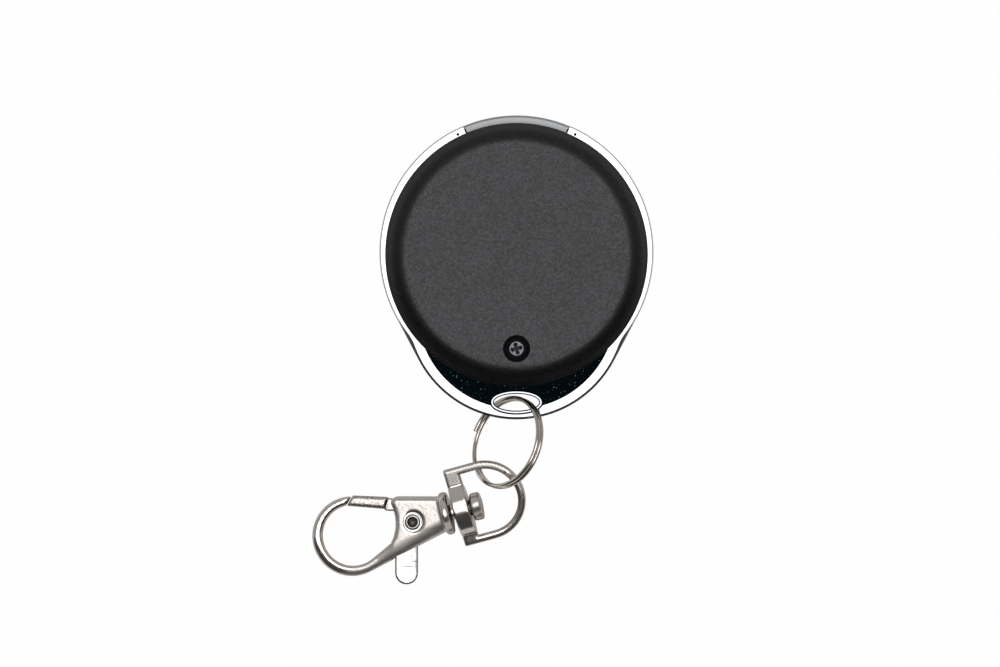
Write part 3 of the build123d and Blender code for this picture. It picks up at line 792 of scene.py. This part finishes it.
def eyeOutline():
    halfX, halfY = bezel["eyeHalf"]
    for number in range(bezel["eyePoints"]):
        x, y = turned(360 * number / bezel["eyePoints"])
        yield Vector((halfX * x, halfY * y + bezel["eyeY"])), -Vector((x / halfX, y / halfY)).normalized()


def profiled(outline, profile, around=False):
    # rows of an outline, drawn in by each distance of the profile
    points = list(outline)
    rows = [[(*(point - way * inset), height) for point, way in points] for inset, height, slot in profile]
    slots = [slot for inset, height, slot in profile[1:] + profile[:1]]
    return loft(rows, around, slots)


def cylinder(centre, radius, heights, points=24):
    return loft([[(*spot, height) for spot in circleOf(radius, points, centre)] for height in heights])


def notchTool():
    half = bezel["notchHalfDegrees"]
    steps = bezel["notchSteps"]
    rows = []
    for number in range(steps + 1):
        x, y = turned(90 + half - 2 * half * number / steps)
        rows.append([(radius * x, radius * y, height) for radius, height in bezel["notchSection"]])
    return loft(rows)


def makeBezel():
    thing = placed(profiled(bezelOutline(), bezel["upper"]), "bezel_plated")
    thing.data.materials.append(materialOf[finishes["chrome_bezel"]])
    thing.data.materials.append(finishOf("bezel_seam_shade", bezelSeamShade))
    thing.data.materials.append(finishOf("bezel_lip", plain["rubbedChrome"]))
    combined(thing, "UNION", profiled(plateOutline(), bezel["plate"]))
    combined(thing, "UNION", profiled(arcOf((0, 0), bezel["ringRadius"], 0, 360), bezel["wall"]))
    hole = cylinder((0, 0), bezel["holeRadius"], bezel["holeHeights"], bezel["holePoints"])
    combined(thing, "DIFFERENCE", hole)
    combined(thing, "DIFFERENCE", notchTool())
    combined(thing, "DIFFERENCE", profiled(eyeOutline(), bezel["eyeCut"]))
    combined(thing, "UNION", profiled(eyeOutline(), bezel["lip"], True))
    x, y = bezel["dotPlace"]
    for side in (-x, x):
        combined(thing, "DIFFERENCE", cylinder((side, y), bezel["dotRadius"], bezel["dotHeights"]))
    becomesPiece(thing, "chrome_bezel", bezel["sharpDegrees"])


makeBezel()
report("bezel made")


# Case screw: a pan head with a cross recess whose arms widen outwards, and a threaded shank

def crossDistance(x, y):
    # how far a point of the head is outside the cross, negative inside
    across = turned(screw["turn"])
    u, v = abs(x * across.x + y * across.y), abs(y * across.x - x * across.y)
    along, aside = max(u, v), min(u, v)
    narrow, wide = screw["armHalf"]
    half = narrow + (wide - narrow) * min(1, along / screw["armLength"])
    return math.hypot(max(along - (screw["armLength"] - half), 0), aside) - half


def headHeightAt(radius, x, y):
    rim, wide = screw["rim"], screw["headRadius"]
    top = screw["seat"] + screw["headHeight"] - screw["crown"] * (radius / wide) ** 2
    past = max(0, radius - (wide - rim))
    top -= rim - math.sqrt(max(0, rim ** 2 - past ** 2))
    share = min(1, max(0, -crossDistance(x, y) / screw["armEdge"]))
    floor = screw["recessDepth"] * (1 - screw["recessRise"] * min(1, radius / screw["armLength"]) ** 2)
    return top - floor * share * share * (3 - 2 * share)


def headRows():
    # from the middle of the head to its rim, and down to its seat
    points, middle, wide = screw["points"], screw["middleRadius"], screw["headRadius"]
    for number in range(screw["headRows"] + 1):
        radius = middle + (wide - middle) * number / screw["headRows"]
        yield [(x, y, headHeightAt(radius, x, y)) for x, y in circleOf(radius, points)]
    yield [(*spot, screw["seat"]) for spot in circleOf(wide, points)]


def shankRows():
    points, neck = screw["points"], screw["neck"]
    for number in range(screw["shankRows"] + 1):
        height = screw["seat"] - neck - (screw["seat"] - screw["end"] - neck) * number / screw["shankRows"]
        taper = screw["tipTaper"] * max(0, 1 - (height - screw["end"]) / screw["tipLength"])
        row = []
        for point, spot in enumerate(circleOf(1, points)):
            wave = abs((height / screw["threadPitch"] - point / points) % 1 - 0.5) * 2
            radius = screw["shankRadius"] - screw["threadDepth"] * wave - taper
            row.append((*spot * radius, height))
        yield row


def makeScrew():
    mesh = loft([*headRows(), *shankRows()])
    mesh.transform(Matrix.Translation((0, screw["y"], 0)))
    mesh.materials.append(materialOf[finishes["case_screw"]])
    becomesPiece(placed(mesh, "screw_cross"), "case_screw", screw["sharpDegrees"])


makeScrew()
report("screw made")


# Split ring: round wire wound for nearly two turns, cut off square

splitRing = {
    "centre": (-1.68, -33.63, 6.6),
    "heading": 68.2,
    "lean": 48.3,
    "radius": 8.0,
    "wireRadius": 0.39,
    "pitch": 0.82,
    "turned": 674,
    "start": 138,
    "steps": 620,
    "sides": 24,
    # the wire's ends are that much thinner, and reach out by a share of it
    "endRounding": 0.1,
    "endReach": 0.7,
    "sharpDegrees": 60,
}


def makeRing():
    stand = (Matrix.Rotation(math.radians(splitRing["heading"]), 3, "Z")
             @ Matrix.Rotation(math.radians(-splitRing["lean"]), 3, "X"))
    height = splitRing["pitch"] * splitRing["turned"] / 360
    wire = splitRing["wireRadius"]
    rows = []
    for number in range(-1, splitRing["steps"] + 2):
        share = min(1, max(0, number / splitRing["steps"]))
        thick = wire - (splitRing["endRounding"] if number in (-1, splitRing["steps"] + 1) else 0)
        out = turned(splitRing["start"] + splitRing["turned"] * share)
        middle = Vector((*out * splitRing["radius"], height * (share - 0.5)))
        if number < 0 or number > splitRing["steps"]:
            forward = Vector((-out.y, out.x, 0)) * (1 if number > 0 else -1)
            middle += forward * splitRing["endRounding"] * splitRing["endReach"]
        rows.append([Vector(splitRing["centre"]) + stand @ (middle + Vector((*out * away, up)))
                     for away, up in circleOf(thick, splitRing["sides"])])
    mesh = loft(rows)
    mesh.materials.append(materialOf[finishes["split_ring"]])
    becomesPiece(placed(mesh, "ring_wound"), "split_ring", splitRing["sharpDegrees"])


makeRing()
report("ring made")


# Castings: the hook, bail and lever with the soft edges and faint unevenness of cast and plated metal

castings = {
    "hook_body": {"piece": "hook_cast", "voxelMm": 0.096, "growMm": 0.05, "passes": 43},
    "swivel_bail": {"piece": "bail_cast", "voxelMm": 0.07, "growMm": 0.04, "passes": 45},
    "gate_lever": {"piece": "lever_pressed", "voxelMm": 0.075, "growMm": 0.03, "passes": 42},
}
castSharpDegrees = 75

# the hook's own plane, and how its faces fall away towards the long lower edge and round the loop
hook = {
    "origin": (-12.32, -46.22, 3.82),
    "heading": 13.4,
    "slope": 6.5,
    "lowFrom": (-0.6, -3.0),
    "lowTo": (-15.7, -6.9),
    "loopCentre": (-17.42, -0.08),
    "loopRadius": 7.02,
    "fallReach": 2.7,
    "fallShare": 0.43,
    "fallFades": (-2.2, 1.2),
    # the gate's bar is rounded across its length, and the lever's plate, lower than barAbove, stays flat
    "barFrom": (-16.27, 6.12),
    "barTo": (-10.10, 4.26),
    "barPast": 0.1,
    "barAbove": 3.2,
    "barHalf": 0.98,
    "barFall": 0.15,
}
hookTurn = (Matrix.Rotation(math.radians(hook["heading"]), 3, "Z")
            @ Matrix.Rotation(math.radians(-hook["slope"]), 3, "Y"))


def domeHook(mesh):
    start, end = Vector(hook["lowFrom"]), Vector(hook["lowTo"])
    along = (end - start).normalized()
    inward = Vector((along.y, -along.x))
    origin = Vector(hook["origin"])
    full, still = hook["fallFades"]
    for vertex in mesh.vertices:
        local = hookTurn.transposed() @ (vertex.co - origin)
        flat = local.xy
        inside = inward.dot(flat - start)
        if local.x < end.x:
            inside = hook["loopRadius"] - (flat - Vector(hook["loopCentre"])).length
        near = min(1, max(0, 1 - inside / hook["fallReach"]))
        low = min(1, max(0, (still - local.y) / (still - full)))
        local.z *= 1 - hook["fallShare"] * near * near * low
        vertex.co = origin + hookTurn @ local


def roundBar(mesh):
    start, end = Vector(hook["barFrom"]), Vector(hook["barTo"])
    along = (end - start).normalized()
    length = (end - start).length + hook["barPast"]
    origin = Vector(hook["origin"])
    for vertex in mesh.vertices:
        local = hookTurn.transposed() @ (vertex.co - origin)
        flat = local.xy - start
        if flat.dot(along) < length and local.y > hook["barAbove"]:
            off = min(1, abs(along.x * flat.y - along.y * flat.x) / hook["barHalf"])
            local.z *= 1 - hook["barFall"] * off * off
            vertex.co = origin + hookTurn @ local


def makeCasting(node, values):
    thing = placed(nodes[node].data.copy(), values["piece"])
    thing.data.transform(Matrix.Scale(1 / mm, 4))
    even = thing.modifiers.new("even", "REMESH")
    even.mode = "VOXEL"
    even.voxel_size = values["voxelMm"]
    even.use_smooth_shade = True
    grown = thing.modifiers.new("grown", "DISPLACE")
    grown.strength = values["growMm"]
    grown.mid_level = 0.0
    soft = thing.modifiers.new("soft", "SMOOTH")
    soft.factor = 0.5
    soft.iterations = values["passes"]
    settled(thing)
    if node == "hook_body":
        domeHook(thing.data)
    if node == "gate_lever":
        roundBar(thing.data)
    thing.data.materials.clear()
    thing.data.materials.append(materialOf[finishes[node]])
    becomesPiece(thing, node, castSharpDegrees)
    report(f"{values['piece']} made, {len(thing.data.polygons)} faces")


for node, values in castings.items():
    makeCasting(node, values)


# Rivet: a tube flared over both cheeks of the hook, with a crest round its hollow and a dished flange

rivet = {
    "place": (-6.05, -0.08),
    "seat": 1.7,
    "points": 96,
    # radius, height over the seat and finish of the strip up to here, from the middle of the hollow outwards
    "section": [(0.02, -0.55, 1), (0.70, -0.52, 1), (0.84, -0.35, 1), (0.88, 0.36, 1), (0.92, 0.44, 1),
                (0.98, 0.49, 0), (1.04, 0.50, 0), (1.12, 0.48, 0), (1.22, 0.43, 0), (1.27, 0.36, 1),
                (1.31, 0.25, 1), (1.36, 0.21, 1), (1.48, 0.205, 0), (1.62, 0.23, 0), (1.72, 0.24, 0),
                (1.78, 0.21, 1), (1.86, 0.14, 1), (1.87, 0.0, 1), (1.20, -0.05, 0)],
    "sharpDegrees": 50,
}


def makeRivet():
    rows = []
    for outward in (1, -1):
        half = []
        for radius, height, slot in rivet["section"]:
            level = outward * (rivet["seat"] + height)
            spots = circleOf(radius, rivet["points"], rivet["place"])
            half.append([Vector((*spot, level)) for spot in spots])
        rows += half if outward > 0 else half[::-1]
    # a strip between two rows has the finish of its outer row, so the second half is listed one row sooner
    slots = [slot for radius, height, slot in rivet["section"]]
    slots = slots[1:] + [0] + slots[:0:-1]
    origin = Vector(hook["origin"])
    mesh = loft([[origin + hookTurn @ point for point in row] for row in rows], slots=slots)
    mesh.materials.append(materialOf[finishes["gate_rivet"]])
    mesh.materials.append(finishOf("rivet_painted_shade", plain["rivetPaintedShade"]))
    becomesPiece(placed(mesh, "rivet_flared"), "gate_rivet", rivet["sharpDegrees"])


makeRivet()
report("rivet made")


# Floor, light and camera

stage = {
    "floorHalf": 1.2,
    "floorDropMm": 0.02,
    "floorShade": 0.9,
    "floorGlowSeen": 0.99,
    "floorGlowMirrored": 0.30,
    # the tent's roof, with a hole for the camera, and its walls: light, and degrees from straight up
    "tent": 3.0,
    "hole": (7.5, 10.0),
    "holeLight": 0.006,
    "holeTint": (0.25, 0.80, 1.0),
    "wall": (15.0, 27.0),
    "wallLight": 0.26,
    # the walls in front and behind: light, and the y of a direction between which each sets in
    "frontLight": 0.05,
    "frontFades": (0.03, 0.36),
    "frontReach": 0.016,
    "backLight": 0.34,
    "backFades": (0.10, 0.70),
    "pxPerMm": 5.66,
    "fobPx": (516.5, 252.0),
    "picturePx": (1000, 667),
    "lens": 300.0,
    "sensor": 36.0,
    "focusMm": 6.0,
    "clipEnd": 10.0,
}


def makeFloor():
    half = stage["floorHalf"]
    drop = -stage["floorDropMm"] * mm
    corners = [(-half, -half, drop), (half, -half, drop), (half, half, drop), (-half, half, drop)]
    mesh = bpy.data.meshes.new("floor")
    mesh.from_pydata(corners, [], [(0, 1, 2, 3)])
    floor = placed(mesh, "floor")
    material = bpy.data.materials.new("floor_white")
    material.use_nodes = True
    graph = Graph(material.node_tree)
    ray = graph.add("ShaderNodeLightPath")
    mirrored = ray.part("Is Glossy Ray").most(ray.part("Is Transmission Ray"))
    share = ray.part("Is Camera Ray") * stage["floorGlowSeen"] + mirrored * stage["floorGlowMirrored"]
    shade = stage["floorShade"]
    lit = graph.add("ShaderNodeBsdfDiffuse", {}, {"Color": (shade, shade, shade, 1.0)})
    glow = graph.add("ShaderNodeEmission", {}, {"Color": (1.0, 1.0, 1.0, 1.0), "Strength": 1.0})
    both = graph.add("ShaderNodeMixShader", {}, {0: share, 1: lit, 2: glow})
    graph.add("ShaderNodeOutputMaterial", {}, {"Surface": both})
    mesh.materials.append(material)


def cosine(degrees):
    return math.cos(math.radians(degrees))


def makeWorld():
    # a light tent: open overhead, where the camera is, dark low down in front of the chain
    world = bpy.data.worlds.new("light_tent")
    world.use_nodes = True
    bpy.context.scene.world = world
    graph = Graph(world.node_tree)
    way = graph.add("ShaderNodeTexCoord", output="Generated")
    y, up = graph.axes(way)[1:]
    ray = graph.add("ShaderNodeLightPath")
    inner, outer = (cosine(angle) for angle in stage["hole"])
    high, low = (cosine(angle) for angle in stage["wall"])
    hole = up.step(outer, inner)
    front = (0 - y).step(*stage["frontFades"])
    wall = 1 - (up - front * stage["frontReach"]).step(low, high)
    back = y.step(*stage["backFades"])
    sides = (stage["wallLight"] + front * (stage["frontLight"] - stage["wallLight"])
             + back * (stage["backLight"] - stage["wallLight"]))
    tent = (1 - hole) * (stage["tent"] + wall * (sides - stage["tent"]))
    seen = ray.part("Is Camera Ray")
    strength = (tent + hole * stage["holeLight"]) * (1 - seen) + seen
    tint = graph.mixed(hole * (1 - seen), (1.0, 1.0, 1.0), stage["holeTint"])
    light = graph.add("ShaderNodeBackground", {}, {"Color": tint, "Strength": strength})
    graph.add("ShaderNodeOutputWorld", {}, {"Surface": light})


def makeCamera():
    data = bpy.data.cameras.new("camera")
    camera = placed(data, "camera")
    data.lens = stage["lens"]
    data.sensor_width = stage["sensor"]
    wide, high = stage["picturePx"]
    scale = stage["pxPerMm"]
    distanceMm = wide / scale * stage["lens"] / stage["sensor"]
    x = (wide / 2 - stage["fobPx"][0]) / scale
    y = (stage["fobPx"][1] - high / 2) / scale
    camera.location = Vector((x, y, stage["focusMm"] + distanceMm)) * mm
    data.clip_end = stage["clipEnd"]
    bpy.context.scene.camera = camera


makeFloor()
makeWorld()
makeCamera()
bpy.context.scene.view_settings.view_transform = "Standard"
report("floor, light and camera made")
